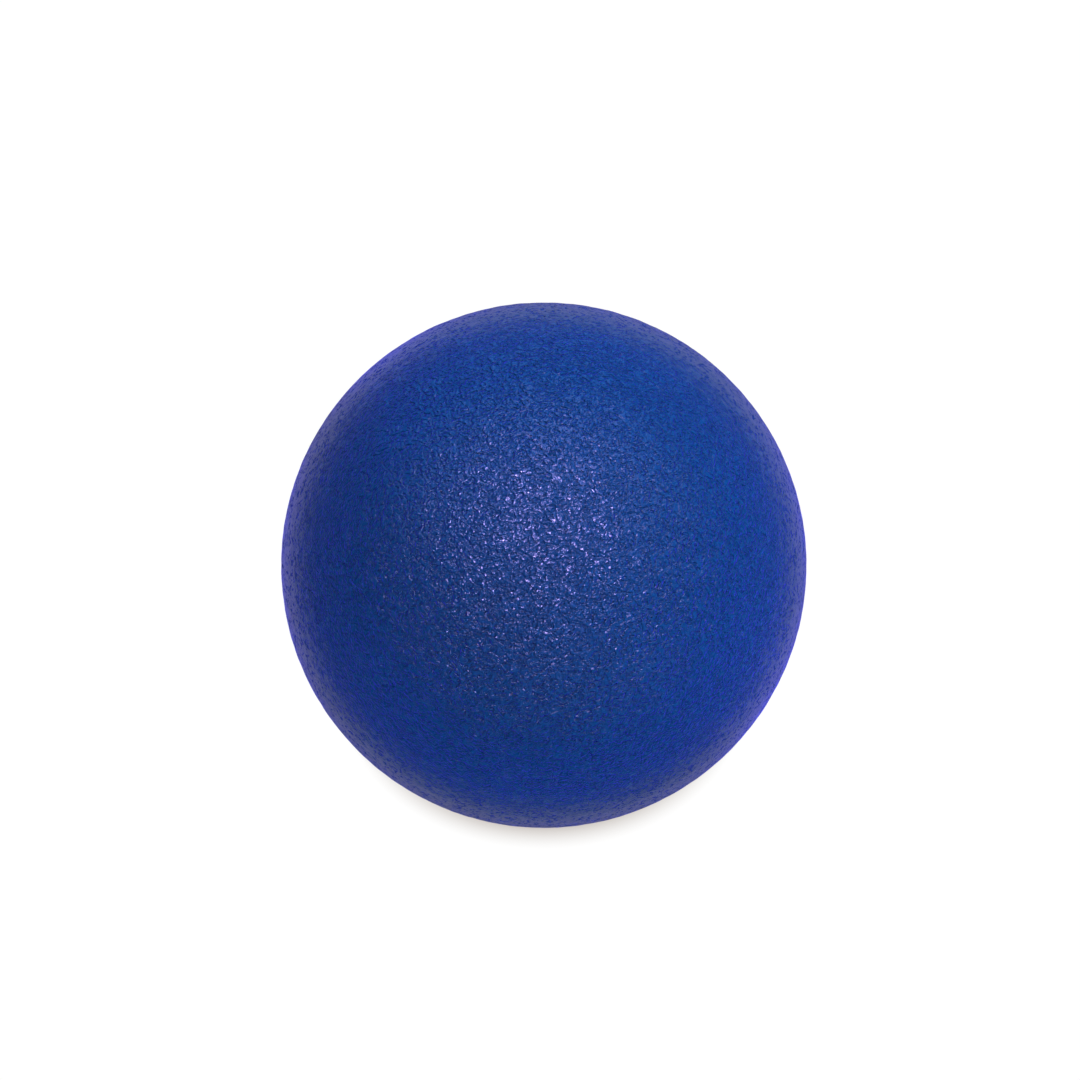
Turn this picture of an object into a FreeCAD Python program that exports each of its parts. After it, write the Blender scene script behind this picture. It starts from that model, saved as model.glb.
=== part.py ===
"""Croquet ball: a compressed cork-and-rubber core inside a moulded nylon cover.

The cover is two half shells that meet at the equator in a tongue-and-groove weld joint, and
they shrink on to the core as they cool, so the three pieces bear on each other face to face.
Units are millimetres. The origin is the centre of the ball and +Z runs through the poles of
the two half shells, so the parting plane is z = 0.
"""
import FreeCAD
import Part

import math
import os

# Driving dimensions.
MM_PER_INCH = 25.4
BALL_DIAMETER = 3.625 * MM_PER_INCH
COVER_THICKNESS = 8.0
TONGUE_WIDTH = 2.6
TONGUE_HEIGHT = 3.0
WELD_WELL_DEPTH = 0.15          # the groove is this much deeper than the tongue is high

# Worked out from the driving dimensions.
BALL_RADIUS = BALL_DIAMETER / 2
CORE_RADIUS = BALL_RADIUS - COVER_THICKNESS
MID_WALL_RADIUS = (BALL_RADIUS + CORE_RADIUS) / 2
TONGUE_INNER_RADIUS = MID_WALL_RADIUS - TONGUE_WIDTH / 2
TONGUE_OUTER_RADIUS = MID_WALL_RADIUS + TONGUE_WIDTH / 2

CENTRE = FreeCAD.Vector(0, 0, 0)
POLE_AXIS = FreeCAD.Vector(0, 0, 1)
EQUATOR = 0.0
POLE = 90.0
MID_LATITUDE = 45.0


def in_section(radius, height):
    """A point of the half section: its distance from the pole axis and its height."""
    return FreeCAD.Vector(radius, 0, height)


def on_circle(radius, latitude):
    """The point of the half section on a circle about the centre, at a latitude in degrees."""
    angle = math.radians(latitude)
    return in_section(radius * math.cos(angle), radius * math.sin(angle))


def quarter_arc(radius):
    """The quarter circle of the half section from the equator up to the pole."""
    points = [on_circle(radius, latitude) for latitude in (EQUATOR, MID_LATITUDE, POLE)]
    return Part.Arc(*points).toShape()


def half_cover(step_height):
    """A half shell above the parting plane, as the solid that its section sweeps about the poles.

    step_height is how far the middle of its lip stands off the parting plane: below the plane
    for a tongue, above it for a groove.
    """
    lip = Part.makePolygon([
        in_section(CORE_RADIUS, 0),
        in_section(TONGUE_INNER_RADIUS, 0),
        in_section(TONGUE_INNER_RADIUS, step_height),
        in_section(TONGUE_OUTER_RADIUS, step_height),
        in_section(TONGUE_OUTER_RADIUS, 0),
        in_section(BALL_RADIUS, 0),
    ])
    pole_edge = Part.makeLine(on_circle(CORE_RADIUS, POLE), on_circle(BALL_RADIUS, POLE))
    outline = lip.Edges + [quarter_arc(BALL_RADIUS), pole_edge, quarter_arc(CORE_RADIUS)]
    section = Part.Face(Part.Wire(Part.__sortEdges__(outline)))
    return section.revolve(CENTRE, POLE_AXIS, 360)


def make_upper_cover():
    """The half shell with the groove in its lip."""
    return half_cover(TONGUE_HEIGHT + WELD_WELL_DEPTH)


def make_lower_cover():
    """The half shell with the tongue on its lip: the same half shell turned over."""
    cover = half_cover(-TONGUE_HEIGHT)
    cover.rotate(CENTRE, FreeCAD.Vector(1, 0, 0), 180)
    return cover


def make_core():
    """The compression-moulded ball of cork granules in rubber that fills the cover."""
    return Part.makeSphere(CORE_RADIUS, CENTRE, POLE_AXIS)


NODES = {
    "upper_cover": make_upper_cover,
    "lower_cover": make_lower_cover,
    "core": make_core,
}


def main():
    os.makedirs("parts", exist_ok=True)
    for name, make in NODES.items():
        solid = make()
        if not (solid.isValid() and solid.isClosed() and solid.Volume > 0):
            raise ValueError(name + " isn't one valid closed solid")
        solid.exportStep(os.path.join("parts", name + ".step"))
        print("%-12s %8.2f cm3" % (name, solid.Volume / 1000))


main()
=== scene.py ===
"""Looks of the croquet ball: two grained nylon half shells round a cork-and-rubber core.

Every size of the ball comes from the frame. The sizes written here are those of its grain and
of the studio round it. Lengths are metres, as in the frame, unless the comment over them says
millimetres.
"""

import math

import bpy
import numpy as np
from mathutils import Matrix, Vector


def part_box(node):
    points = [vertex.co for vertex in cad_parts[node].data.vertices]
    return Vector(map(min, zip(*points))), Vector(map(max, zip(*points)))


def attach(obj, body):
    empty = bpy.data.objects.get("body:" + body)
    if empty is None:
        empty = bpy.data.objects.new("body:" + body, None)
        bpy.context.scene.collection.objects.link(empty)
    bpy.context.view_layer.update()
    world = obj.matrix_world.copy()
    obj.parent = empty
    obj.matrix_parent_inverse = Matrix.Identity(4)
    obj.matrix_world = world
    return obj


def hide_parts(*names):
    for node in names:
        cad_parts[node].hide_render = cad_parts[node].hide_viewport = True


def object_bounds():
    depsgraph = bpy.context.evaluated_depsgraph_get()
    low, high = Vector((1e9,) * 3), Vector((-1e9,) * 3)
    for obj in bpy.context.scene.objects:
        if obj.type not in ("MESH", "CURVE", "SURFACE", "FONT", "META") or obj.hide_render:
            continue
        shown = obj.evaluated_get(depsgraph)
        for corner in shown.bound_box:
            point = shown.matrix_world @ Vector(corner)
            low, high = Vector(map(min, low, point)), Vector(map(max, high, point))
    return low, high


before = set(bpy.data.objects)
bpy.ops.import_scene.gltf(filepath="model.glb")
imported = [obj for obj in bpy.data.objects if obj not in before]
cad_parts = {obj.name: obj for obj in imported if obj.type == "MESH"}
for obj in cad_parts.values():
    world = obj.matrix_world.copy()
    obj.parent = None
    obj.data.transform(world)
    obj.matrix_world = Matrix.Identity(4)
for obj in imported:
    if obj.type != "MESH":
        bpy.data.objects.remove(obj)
cad_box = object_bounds()

MM = 0.001
BALL_CENTRE = (cad_box[0] + cad_box[1]) / 2
BALL_RADIUS = (cad_box[1].x - cad_box[0].x) / 2
CORE_RADIUS = (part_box("core")[1].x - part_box("core")[0].x) / 2

# Meshes: segments along an edge of the cube that each sphere is blown up from.
SKIN_SEGMENTS = 176
BORE_SEGMENTS = SKIN_SEGMENTS // 4
CORE_SEGMENTS = 80

# How near the parting plane a point is taken to lie in it, and how far inside the wall of a
# half shell every point of its lip's step lies.
PLANE_TOLERANCE = 0.001 * MM
WALL_MARGIN = 0.5 * MM

# Reliefs of the meshes, in millimetres from the lowest point to the highest, and the gap that
# the core's highest point leaves under the bore.
SKIN_RELIEF = 0.09
CORE_RELIEF = 0.22
CORE_CLEARANCE = 0.02

# Cover's folds and grain. Periods and the depth are in millimetres. Ranges and the crevices'
# width are levels of a noise, which runs from 0 to 1 about its mean.
NOISE_MEAN = 0.5
FOLD_PERIOD = 2.2
FOLD_ROUGH = 0.4
FOLD_RANGE = (0.25, 0.75)
GRANULE_PERIOD = 0.66
GRANULE_ROUGH = 0.65
GRANULE_RANGE = (0.32, 0.56)
CLUMP_PERIOD = 1.7
CLUMP_SHARE = 0.25
PORE_PERIOD = 0.42
PORE_SHARE = 0.27
CREVICE_PERIOD = 1.3
CREVICE_WIDTH = 0.1
CREVICE_SHARE = 0.25
GRAIN_DEPTH = 0.8

# Core's granules, in millimetres. The width of their rounded edges is in granule sizes.
CORK_SIZE = 3.4
CORK_EDGE = 0.25
CRUMB_SIZE = 0.9
CRUMB_SHARE = 0.25

# Camera: degrees above the table, metres, and shares of the frame's width.
CAMERA_ELEVATION = 60.0
CAMERA_DISTANCE = 0.80
BALL_SHARE_OF_FRAME = 0.4863
BALL_RIGHT_OF_MIDDLE = 0.0036
BALL_BELOW_MIDDLE = 0.0232
SENSOR_WIDTH = 0.036
CLIP_RANGE = (0.01, 100)


# --- Node trees -------------------------------------------------------------------------------

class Tree:
    """Adds nodes to a shader or geometry tree. An input is given a value or another output."""

    def __init__(self, tree):
        self.tree = tree

    def give(self, socket, value):
        """Sets an input to a value, or links an output to it."""
        if isinstance(value, bpy.types.NodeSocket):
            self.tree.links.new(value, socket)
        else:
            socket.default_value = value

    def add(self, kind, inputs=None, **settings):
        """A node of a kind, with its inputs, by name or number, and its settings."""
        node = self.tree.nodes.new(kind)
        for name, value in settings.items():
            setattr(node, name, value)
        for key, value in (inputs or {}).items():
            self.give(node.inputs[key], value)
        return node

    def math(self, operation, *values):
        """The output of a sum on numbers."""
        return self.add("ShaderNodeMath", dict(enumerate(values)), operation=operation).outputs[0]

    def vector(self, operation, *values, output=0, **inputs):
        """An output of a sum on vectors."""
        node = self.add("ShaderNodeVectorMath", {**dict(enumerate(values)), **inputs},
                        operation=operation)
        return node.outputs[output]

    def ramp(self, value, low, high, to_low=0.0, to_high=1.0, smooth=True):
        """Turns value from low to high into to_low to to_high, held outside them."""
        kind = "SMOOTHSTEP" if smooth else "LINEAR"
        inputs = {0: value, 1: low, 2: high, 3: to_low, 4: to_high}
        return self.add("ShaderNodeMapRange", inputs, interpolation_type=kind).outputs[0]

    def noise(self, place, period, detail=0.0, roughness=0.5):
        """A smooth random level from 0 to 1, with detail octaves more than the first."""
        inputs = {"Vector": place, "Scale": 1 / period, "Detail": detail, "Roughness": roughness}
        return self.add("ShaderNodeTexNoise", inputs).outputs[0]

    def cells(self, place, size, feature="F1", output="Distance"):
        """An output of a pattern of irregular cells."""
        inputs = {"Vector": place, "Scale": 1 / size}
        return self.add("ShaderNodeTexVoronoi", inputs, feature=feature).outputs[output]

    def mix(self, share, first, second):
        """The colour that is share of the way from the first to the second."""
        inputs = {0: share, 6: first, 7: second}
        return self.add("ShaderNodeMix", inputs, data_type="RGBA").outputs[2]

    def bump(self, height, depth):
        """The normal of a relief that is depth millimetres from height 0 to height 1."""
        inputs = {"Height": height, "Distance": depth * MM, "Strength": 1.0}
        return self.add("ShaderNodeBump", inputs).outputs[0]


# --- Reliefs of the cover and the core, as nodes ----------------------------------------------

def on_sphere(tree, position, radius):
    """The point of the plain sphere under a position on the relief, in millimetres."""
    direction = tree.vector("NORMALIZE", position)
    return tree.vector("SCALE", direction, Scale=radius / MM)


def skin_height(tree, place):
    """Height of the mesh's relief, from 0 to 1: the folds that the grain lies on."""
    folds = tree.noise(place, FOLD_PERIOD, detail=1.0, roughness=FOLD_ROUGH)
    return tree.ramp(folds, *FOLD_RANGE, smooth=False)


def granule_height(tree, place):
    """Height of the granules alone, from 0 to 1: flat-topped, and taller where they clump."""
    clump = tree.math("MULTIPLY_ADD", tree.noise(place, CLUMP_PERIOD), CLUMP_SHARE,
                      -CLUMP_SHARE * NOISE_MEAN)
    swell = tree.noise(place, GRANULE_PERIOD, detail=1.0, roughness=GRANULE_ROUGH)
    return tree.ramp(tree.math("ADD", swell, clump), *GRANULE_RANGE)


def grain_height(tree, place):
    """Height of the grain, from 0 to 1: uneven granules, pores and long crevices."""
    granules = granule_height(tree, place)
    pores = tree.noise(place, PORE_PERIOD)
    furrow = tree.math("SUBTRACT", tree.noise(place, CREVICE_PERIOD), NOISE_MEAN)
    crevices = tree.ramp(tree.math("ABSOLUTE", furrow), 0.0, CREVICE_WIDTH)
    height = tree.math("MULTIPLY", granules, 1 - PORE_SHARE - CREVICE_SHARE)
    for part, share in ((pores, PORE_SHARE), (crevices, CREVICE_SHARE)):
        height = tree.math("ADD", height, tree.math("MULTIPLY", part, share))
    return height


def core_height(tree, place):
    """Height of the core's relief, from 0 to 1: cork granules that stand out of the rubber."""
    granules = tree.ramp(tree.cells(place, CORK_SIZE, "DISTANCE_TO_EDGE"), 0.0, CORK_EDGE)
    crumbs = tree.noise(place, CRUMB_SIZE, detail=1.0)
    return tree.math("ADD", tree.math("MULTIPLY", granules, 1 - CRUMB_SHARE),
                     tree.math("MULTIPLY", crumbs, CRUMB_SHARE))


# --- Meshes -----------------------------------------------------------------------------------

def sphere_grid(segments):
    """Points of a unit sphere and its quads: a cube's faces, divided evenly by angle."""
    steps = np.tan(np.linspace(-math.pi / 4, math.pi / 4, segments + 1))
    across, up = np.meshgrid(steps, steps, indexing="ij")
    ones = np.ones_like(across)
    corner = np.arange(segments * (segments + 1)).reshape(segments, segments + 1)[:, :-1]
    stride = segments + 1
    quads = np.stack([corner, corner + stride, corner + stride + 1, corner + 1], -1).reshape(-1, 4)
    points, faces = [], []
    for axis in range(3):
        for side in (1, -1):
            layers = [None, None, None]
            layers[axis] = side * ones
            layers[(axis + 1) % 3] = side * across
            layers[(axis + 2) % 3] = up
            faces.append(quads + len(points) * across.size)
            points.append(np.stack(layers, -1).reshape(-1, 3))
    points = np.concatenate(points)
    points /= np.linalg.norm(points, axis=1, keepdims=True)
    faces = np.concatenate(faces)
    _, first, where = np.unique(np.round(points, 7) + 0.0, axis=0, return_index=True,
                                return_inverse=True)
    return points[first], where.reshape(-1)[faces]


def new_mesh_object(name, points, faces):
    """An object of smooth faces, linked to the scene."""
    mesh = bpy.data.meshes.new(name)
    mesh.from_pydata(points, [], faces, shade_flat=False)
    obj = bpy.data.objects.new(name, mesh)
    bpy.context.scene.collection.objects.link(obj)
    return obj


def relief_modifier(obj, height, radius, low, high):
    """Moves the points of a sphere along its radius, from low to high millimetres off it."""
    group = bpy.data.node_groups.new(obj.name + "_relief", "GeometryNodeTree")
    group.interface.new_socket("Geometry", in_out="INPUT", socket_type="NodeSocketGeometry")
    group.interface.new_socket("Geometry", in_out="OUTPUT", socket_type="NodeSocketGeometry")
    tree = Tree(group)
    source = tree.add("NodeGroupInput")
    position = tree.add("GeometryNodeInputPosition").outputs[0]
    rise = tree.ramp(height(tree, on_sphere(tree, position, radius)), 0.0, 1.0, low * MM,
                     high * MM, smooth=False)
    offset = tree.vector("SCALE", tree.vector("NORMALIZE", position), Scale=rise)
    moved = tree.add("GeometryNodeSetPosition", {"Geometry": source.outputs[0], "Offset": offset})
    tree.add("NodeGroupOutput", {0: moved.outputs[0]})
    obj.modifiers.new("relief", "NODES").node_group = group


def shaped(obj):
    """The points and the point normals of a mesh once its modifiers are applied."""
    graph = bpy.context.evaluated_depsgraph_get()
    mesh = obj.evaluated_get(graph).to_mesh()
    points = np.empty(len(mesh.vertices) * 3, np.float32)
    normals = np.empty(len(mesh.vertices) * 3, np.float32)
    mesh.vertices.foreach_get("co", points)
    mesh.vertex_normals.foreach_get("vector", normals)
    return points.reshape(-1, 3).astype(float), normals.reshape(-1, 3).astype(float)


def make_skin():
    """Points, normals and quads of the cover's whole outer surface, with its folds."""
    directions, quads = sphere_grid(SKIN_SEGMENTS)
    blank = new_mesh_object("skin", directions * BALL_RADIUS, quads)
    relief_modifier(blank, skin_height, BALL_RADIUS, -SKIN_RELIEF / 2, SKIN_RELIEF / 2)
    points, normals = shaped(blank)
    bpy.data.objects.remove(blank)
    return points, normals, quads


def lip_step(node):
    """The step in the middle of a half shell's lip: its two radii and its height."""
    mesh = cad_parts[node].data
    points = np.array([vertex.co for vertex in mesh.vertices])
    distance = np.linalg.norm(points, axis=1)
    off_bore = distance > CORE_RADIUS + WALL_MARGIN
    off_skin = distance < BALL_RADIUS - WALL_MARGIN
    points = points[off_bore & off_skin]
    radii = np.hypot(points[:, 0], points[:, 1])
    return radii.min(), radii.max(), points[np.abs(points[:, 2]).argmax(), 2]


def equator(points):
    """Indices of the points on the parting plane, in order round the pole axis."""
    ring = np.flatnonzero(np.abs(points[:, 2]) < PLANE_TOLERANCE)
    turn = np.arctan2(points[ring, 1], points[ring, 0]) / (2 * math.pi) * len(ring)
    return ring[np.argsort(np.round(turn).astype(int) % len(ring))]


def half_of(points, quads, side):
    """The points on one side of the parting plane or in it, and their quads, renumbered."""
    kept = quads[points[quads][:, :, 2].mean(axis=1) * side > 0]
    used, renumbered = np.unique(kept, return_inverse=True)
    return used, renumbered.reshape(kept.shape)


def band(outer, inner, side):
    """Faces between two rings of a lip, the inner of which may have fewer points."""
    share = len(outer) // len(inner)
    faces = []
    for index, start in enumerate(inner):
        following = inner[(index + 1) % len(inner)]
        along = [outer[(index * share + step) % len(outer)] for step in range(share + 1)]
        face = [start, *along, following]
        faces.append(face[::-1] if side > 0 else face)
    return faces


def band_normals(points, faces, section_normal):
    """A normal for each corner of a band's faces, from its normal in the half section."""
    corners = points[np.concatenate(faces)]
    radii = np.hypot(corners[:, 0], corners[:, 1])
    outward, up = section_normal
    return np.stack([corners[:, 0] / radii * outward, corners[:, 1] / radii * outward,
                     np.full(len(radii), up)], -1)


def make_bore(side):
    """Points and quads of the plain inside of a half shell."""
    directions, quads = sphere_grid(BORE_SEGMENTS)
    used, quads = half_of(directions, quads, side)
    return directions[used] * CORE_RADIUS, quads[:, ::-1]


def make_lip(name, side, points, outer_ring, inner_ring):
    """The stepped lip from the skin's ring to the bore's: every point, its faces and normals."""
    step_inner, step_outer, step_height = lip_step(name)
    section = [(step_outer, 0), (step_outer, step_height), (step_inner, step_height),
               (step_inner, 0)]
    round_pole = points[inner_ring] / CORE_RADIUS
    rings = [outer_ring]
    for radius, height in section:
        rings.append(np.arange(len(round_pole)) + len(points))
        points = np.concatenate([points, round_pole * radius + np.array((0, 0, height))])
    rings.append(inner_ring)

    corners = [(BALL_RADIUS, 0), *section, (CORE_RADIUS, 0)]
    faces, normals = [], []
    for ring, next_ring, corner, next_corner in zip(rings, rings[1:], corners, corners[1:]):
        run = np.subtract(next_corner, corner)
        section_normal = -side * np.array((run[1], -run[0])) / np.linalg.norm(run)
        strip = band(ring, next_ring, side)
        faces += strip
        normals.append(band_normals(points, strip, section_normal))
    return points, faces, np.concatenate(normals)


def make_half_cover(name, side, skin, materials):
    """One closed half shell: the folded skin, the stepped lip and the plain bore."""
    skin_points, skin_normals, skin_quads = skin
    used, skin_quads = half_of(skin_points, skin_quads, side)
    skin_points = skin_points[used]
    skin_normals = skin_normals[used]
    bore_points, bore_quads = make_bore(side)
    bore_start = len(skin_points)
    points, lip_faces, lip_normals = make_lip(
        name, side, np.concatenate([skin_points, bore_points]),
        equator(skin_points), equator(bore_points) + bore_start)
    faces = [*skin_quads.tolist(), *lip_faces, *(bore_quads + bore_start).tolist()]
    normals = [skin_normals[skin_quads.reshape(-1)], lip_normals,
               -bore_points[bore_quads.reshape(-1)] / CORE_RADIUS]

    cover = new_mesh_object(name + "_moulding", points, faces)
    cover.data.normals_split_custom_set(np.concatenate(normals))
    for material in materials:
        cover.data.materials.append(material)
    slots = np.ones(len(faces), int)
    slots[:len(skin_quads)] = 0
    cover.data.polygons.foreach_set("material_index", slots)
    return cover


def make_core(material):
    """The core: cork granules that stand a little out of the rubber between them."""
    directions, quads = sphere_grid(CORE_SEGMENTS)
    core = new_mesh_object("core_moulding", directions * CORE_RADIUS, quads)
    relief_modifier(core, core_height, CORE_RADIUS, -CORE_RELIEF - CORE_CLEARANCE,
                    -CORE_CLEARANCE)
    points, _ = shaped(core)
    core.modifiers.clear()
    core.data.vertices.foreach_set("co", points.reshape(-1))
    core.data.update()
    core.data.materials.append(material)
    return core


# --- Materials --------------------------------------------------------------------------------

def new_material(name):
    """A material with an empty Principled shader, and the tree to add its nodes to."""
    material = bpy.data.materials.new(name)
    material.use_nodes = True
    tree = Tree(material.node_tree)
    return material, tree, material.node_tree.nodes["Principled BSDF"]


def object_place(tree):
    """The place on the object that is being shaded, in metres from its origin."""
    return tree.add("ShaderNodeTexCoord").outputs["Object"]


def fill(tree, shader, **values):
    """Gives inputs of a shader, each named with _ for a space, a value or an output."""
    for name, value in values.items():
        tree.give(shader.inputs[name.replace("_", " ")], value)


PLASTIC_IOR = 1.5

# Grained nylon. Cloud period in millimetres. The heights of the painted shade and of the coat are
# heights of the grain: the grain's hollows are painted a darker blue, as shade.
# Facing is 0 where the skin faces the eye, and 1 at the rim.
NYLON_BLUE = (0.002, 0.068, 0.328, 1)
# Dark blue: the painted shade in the grain's hollows, and the dark end of the bare nylon's flow
# marks.
NYLON_BLUE_DARK_AND_SHADE = (0.002, 0.062, 0.312, 1)
NYLON_BLUE_WORN = (0.003, 0.070, 0.340, 1)
CLOUD_PERIOD = 22.0
CLOUD_RANGE = (0.35, 0.65)
PAINTED_SHADE_HEIGHTS = (0.15, 0.6)
GRAIN_ROUGHNESS = (0.36, 0.28)
GLINT = (0.15, 0.108, 0.265, 1)
GLOSS_FACING = (0.0, 0.35)
GLOSS_LEVELS = (0.5, 0.1)
COAT_FACING = (0.47, 0.82)
COAT_HEIGHTS = (0.42, 0.56)
COAT_ROUGHNESS = 0.3
HAZE = (0.045, 0.035, 1.0, 1)
HAZE_WEIGHT = 0.9
HAZE_ROUGHNESS = 0.33


def make_grained_nylon():
    """The ball's skin: pebbled royal blue nylon, glossy on its granules, hazed at the rim.

    The coat lies on the granules only and reflects the table at the rim. The sheen is the lilac
    haze there. The gloss fades to the rim, so that it doesn't grey the blue. The grain's hollows
    are painted a darker blue, as shade.
    """
    material, tree, shader = new_material("grained_nylon")
    place = on_sphere(tree, object_place(tree), BALL_RADIUS)
    height = grain_height(tree, place)
    cloud = tree.ramp(tree.noise(place, CLOUD_PERIOD, detail=3.0), *CLOUD_RANGE)
    body = tree.mix(cloud, NYLON_BLUE, NYLON_BLUE_WORN)
    # The grain's hollows are painted a darker blue: painted shade.
    out_of_painted_shade = tree.ramp(height, *PAINTED_SHADE_HEIGHTS)
    facing = tree.add("ShaderNodeLayerWeight", {"Blend": 0.5}).outputs["Facing"]
    coat = tree.math("MULTIPLY", tree.ramp(facing, *COAT_FACING),
                     tree.ramp(height, *COAT_HEIGHTS))
    fill(tree, shader,
         Base_Color=tree.mix(out_of_painted_shade, NYLON_BLUE_DARK_AND_SHADE, body),
         Roughness=tree.ramp(height, 0.0, 1.0, *GRAIN_ROUGHNESS),
         Normal=tree.bump(height, GRAIN_DEPTH),
         IOR=PLASTIC_IOR,
         Specular_IOR_Level=tree.ramp(facing, *GLOSS_FACING, *GLOSS_LEVELS),
         Specular_Tint=GLINT,
         Coat_Weight=coat,
         Coat_Roughness=COAT_ROUGHNESS,
         Sheen_Weight=HAZE_WEIGHT,
         Sheen_Roughness=HAZE_ROUGHNESS,
         Sheen_Tint=HAZE)
    return material


# Bare nylon. Periods and the depth are in millimetres.
FLOW_PERIOD = 14.0
FLOW_RANGE = (0.3, 0.7)
BARE_ROUGHNESS = (0.34, 0.46)
BARE_GLOSS = 0.45
MOULD_PERIOD = 0.8
MOULD_DEPTH = 0.02


def make_bare_nylon():
    """The inside of a half shell, as it leaves the mould: smooth, with faint flow marks."""
    material, tree, shader = new_material("bare_nylon")
    place = tree.vector("SCALE", object_place(tree), Scale=1 / MM)
    flow = tree.noise(place, FLOW_PERIOD, detail=3.0)
    mould = tree.noise(place, MOULD_PERIOD, detail=3.0)
    fill(tree, shader,
         Base_Color=tree.mix(flow, NYLON_BLUE_DARK_AND_SHADE, NYLON_BLUE_WORN),
         Roughness=tree.ramp(flow, *FLOW_RANGE, *BARE_ROUGHNESS),
         Normal=tree.bump(mould, MOULD_DEPTH),
         IOR=PLASTIC_IOR,
         Specular_IOR_Level=BARE_GLOSS)
    return material


# Cork and rubber. The depth is in millimetres, and the rubber's range in granule sizes from a
# granule's edge.
CORK_LIGHT = (0.42, 0.235, 0.105, 1)
CORK_DARK = (0.20, 0.095, 0.040, 1)
RUBBER = (0.028, 0.022, 0.019, 1)
RUBBER_RANGE = (0.02, 0.10)
TONE_RANGE = (0.25, 0.75)
LENTICEL_ROUGH = 0.65
LENTICEL_RANGE = (0.3, 0.7)
LENTICEL_DEPTH = 0.2
CORK_ROUGHNESS = (0.9, 0.75)
CORK_GLOSS = 0.25


def make_cork_rubber():
    """The core: tan cork granules of uneven tone, set in dark rubber."""
    material, tree, shader = new_material("cork_rubber")
    place = on_sphere(tree, object_place(tree), CORE_RADIUS)
    edge = tree.cells(place, CORK_SIZE, "DISTANCE_TO_EDGE")
    tone = tree.cells(place, CORK_SIZE, output="Color")
    lenticels = tree.noise(place, CRUMB_SIZE, detail=3.0, roughness=LENTICEL_ROUGH)
    blend = tree.math("MULTIPLY", tree.math("ADD", tone, lenticels), 0.5)
    cork = tree.mix(tree.ramp(blend, *TONE_RANGE), CORK_DARK, CORK_LIGHT)
    fill(tree, shader,
         Base_Color=tree.mix(tree.ramp(edge, *RUBBER_RANGE), RUBBER, cork),
         Roughness=tree.ramp(lenticels, *LENTICEL_RANGE, *CORK_ROUGHNESS),
         Normal=tree.bump(lenticels, LENTICEL_DEPTH),
         IOR=PLASTIC_IOR,
         Specular_IOR_Level=CORK_GLOSS)
    return material


# --- The ball ---------------------------------------------------------------------------------

def make_ball():
    """The two half shells and the core, each in place of its plain solid."""
    nylon = [make_grained_nylon(), make_bare_nylon()]
    skin = make_skin()
    for node, side in (("upper_cover", 1), ("lower_cover", -1)):
        cover = make_half_cover(node, side, skin, nylon)
        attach(cover, "root")
        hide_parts(node)
    core = make_core(make_cork_rubber())
    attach(core, "root")
    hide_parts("core")


# --- Studio -----------------------------------------------------------------------------------

def camera_axes():
    """The camera's right, up and backward directions."""
    tilt = math.radians(CAMERA_ELEVATION)
    right = Vector((1, 0, 0))
    back = Vector((0, -math.cos(tilt), math.sin(tilt)))
    return right, back.cross(right), back


def make_camera():
    """A long lens above the ball, aimed past its centre so that the ball sits off the middle."""
    data = bpy.data.cameras.new("camera")
    camera = bpy.data.objects.new("camera", data)
    bpy.context.scene.collection.objects.link(camera)
    right, up, back = camera_axes()
    limb = math.tan(math.asin(BALL_RADIUS / CAMERA_DISTANCE))
    data.sensor_width = SENSOR_WIDTH / MM
    data.lens = data.sensor_width * BALL_SHARE_OF_FRAME / (2 * limb)
    frame_at_ball = CAMERA_DISTANCE * data.sensor_width / data.lens
    aim = BALL_CENTRE + frame_at_ball * (BALL_BELOW_MIDDLE * up - BALL_RIGHT_OF_MIDDLE * right)
    camera.location = BALL_CENTRE + CAMERA_DISTANCE * back
    camera.rotation_mode = "QUATERNION"
    camera.rotation_quaternion = (aim - camera.location).to_track_quat("-Z", "Y")
    data.clip_start, data.clip_end = CLIP_RANGE
    bpy.context.scene.camera = camera


def add_light(name, rightward, upward, distance, size, watts, lights_ball):
    """A round soft light, at angles in degrees to the right of the camera and above it."""
    right, up, back = camera_axes()
    across, rise = math.radians(rightward), math.radians(upward)
    direction = (math.cos(rise) * (math.cos(across) * back + math.sin(across) * right)
                 + math.sin(rise) * up)
    data = bpy.data.lights.new(name, "AREA")
    data.shape = "DISK"
    data.size = size
    data.energy = watts
    light = bpy.data.objects.new(name, data)
    light.location = BALL_CENTRE + direction * distance
    light.rotation_mode = "QUATERNION"
    light.rotation_quaternion = (-direction).to_track_quat("-Z", "Y")
    light.visible_camera = False
    light.visible_diffuse = lights_ball
    bpy.context.scene.collection.objects.link(light)


# Name, degrees right of the camera and above it, distance, diameter, watts, and whether it
# lights the ball or is only reflected in it.
LIGHTS = [
    ("front", 0, -35, 1.0, 0.6, 4.5, True),
    ("main", 60, 45, 1.0, 0.4, 5.0, True),
    ("behind_right", 50, 90, 1.0, 0.6, 4.4, True),
    ("right", 45, 30, 1.0, 0.5, 1.8, True),
    ("upper_left", -50, 60, 1.0, 0.6, 1.8, True),
    ("right_low", 80, -10, 1.0, 0.6, 1.2, True),
    ("left", -80, 30, 1.0, 0.6, 0.8, True),
    ("glints", 0, 14, 0.8, 0.12, 54, False),
    ("glints_above", 0, 45, 1.0, 0.5, 18, False),
]

# Table: half its side in metres, what it looks like to the camera and in reflections, and what
# it gives back to the ball.
FLOOR_REACH = 30.0
FLOOR_SHOWN = 1.02
FLOOR_REFLECTED = 0.3
FLOOR_FELT = (0.7, 0.7, 0.7, 1)

# Shade round the ball's foot: where its darkest tone ends, where its middle tone is and where
# it ends, in ball radii from the foot, and how much wider than deep it is.
SHADE_REACHES = (0.32, 0.50, 0.73)
SHADE_WIDTH = 1.15
SHADE_DARKEST = (0.020, 0.017, 0.016, 1)
SHADE_MIDDLE = (0.21, 0.13, 0.07, 1)
WHITE = (1, 1, 1, 1)


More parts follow.
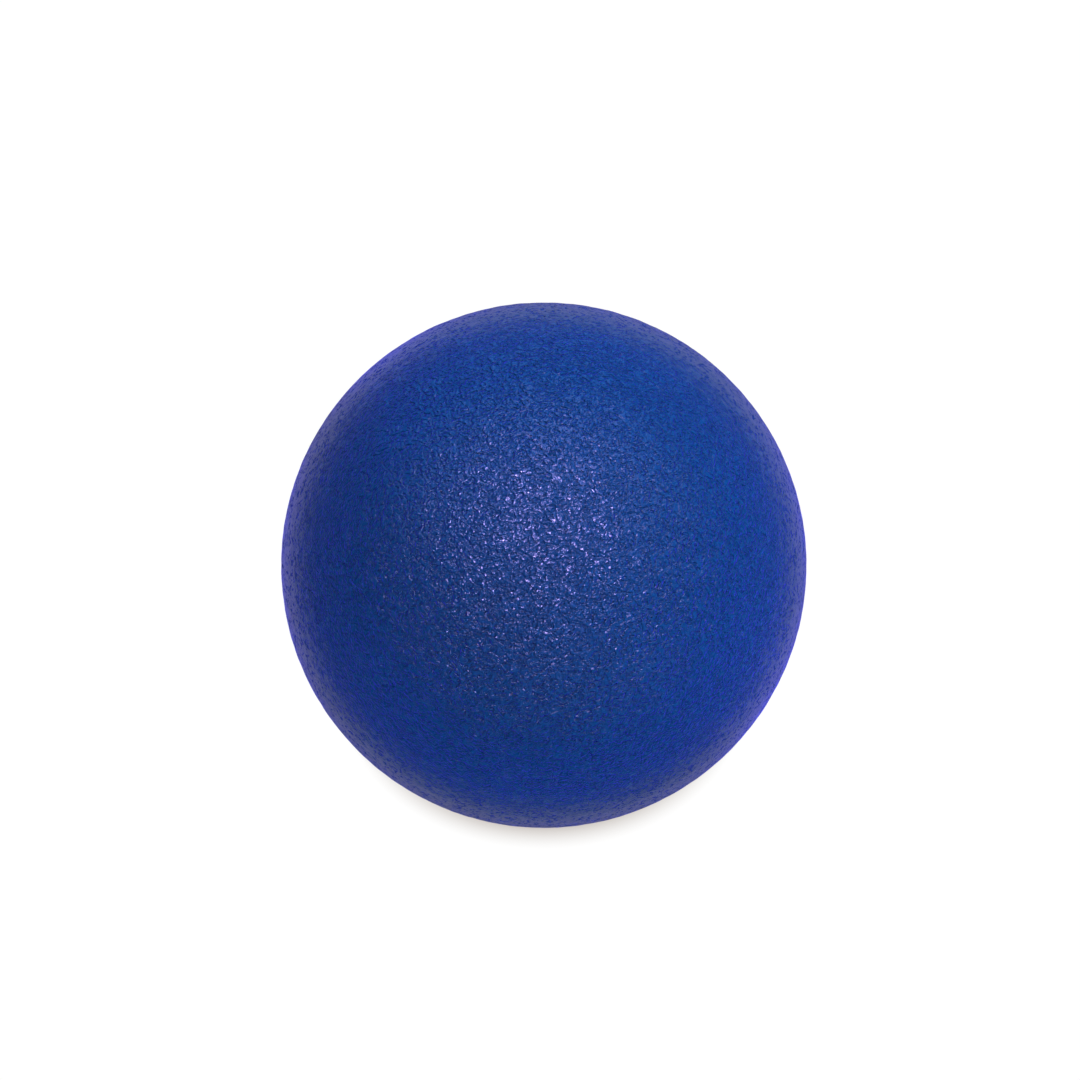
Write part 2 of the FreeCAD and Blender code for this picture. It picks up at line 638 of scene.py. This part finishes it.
def table_look(tree):
    """The table's colour: white, but for the shade round the ball's foot."""
    spread = tree.vector("MULTIPLY", object_place(tree), (1 / SHADE_WIDTH, 1, 0))
    span = tree.vector("LENGTH", spread, output="Value")
    darkest, middle, end = (reach * BALL_RADIUS for reach in SHADE_REACHES)
    shade = tree.mix(tree.ramp(span, darkest, middle), SHADE_DARKEST, SHADE_MIDDLE)
    return tree.mix(tree.ramp(span, middle, end), shade, WHITE)


def make_floor():
    """A white table, blown out but for the shade close round the ball's foot."""
    low = cad_box[0].z
    corners = [(x * FLOOR_REACH, y * FLOOR_REACH, low)
               for x, y in ((-1, -1), (1, -1), (1, 1), (-1, 1))]
    floor = new_mesh_object("floor", corners, [(0, 1, 2, 3)])
    material, tree, shader = new_material("white_floor")
    ray = tree.add("ShaderNodeLightPath").outputs
    look = table_look(tree)
    felt = tree.add("ShaderNodeBsdfDiffuse", {"Color": FLOOR_FELT})
    reflected = tree.add("ShaderNodeEmission", {"Color": look, "Strength": FLOOR_REFLECTED})
    shown = tree.add("ShaderNodeEmission", {"Color": look, "Strength": FLOOR_SHOWN})
    mirrored = tree.add("ShaderNodeMixShader", {0: ray["Is Glossy Ray"], 1: felt.outputs[0],
                                                2: reflected.outputs[0]})
    mixed = tree.add("ShaderNodeMixShader", {0: ray["Is Camera Ray"], 1: mirrored.outputs[0],
                                             2: shown.outputs[0]})
    nodes = material.node_tree.nodes
    tree.give(nodes["Material Output"].inputs["Surface"], mixed.outputs[0])
    nodes.remove(shader)
    floor.data.materials.append(material)


def make_sky():
    """White behind the ball, for the camera alone: it lights nothing."""
    world = bpy.data.worlds.new("studio")
    world.use_nodes = True
    bpy.context.scene.world = world
    tree = Tree(world.node_tree)
    seen = tree.add("ShaderNodeLightPath").outputs["Is Camera Ray"]
    background = world.node_tree.nodes["Background"].inputs
    tree.give(background["Color"], WHITE)
    tree.give(background["Strength"], seen)


def make_studio():
    """The camera, the table, the white behind it and the lights."""
    make_camera()
    make_floor()
    make_sky()
    for light in LIGHTS:
        add_light(*light)
    bpy.context.scene.view_settings.view_transform = "Standard"


make_studio()
make_ball()
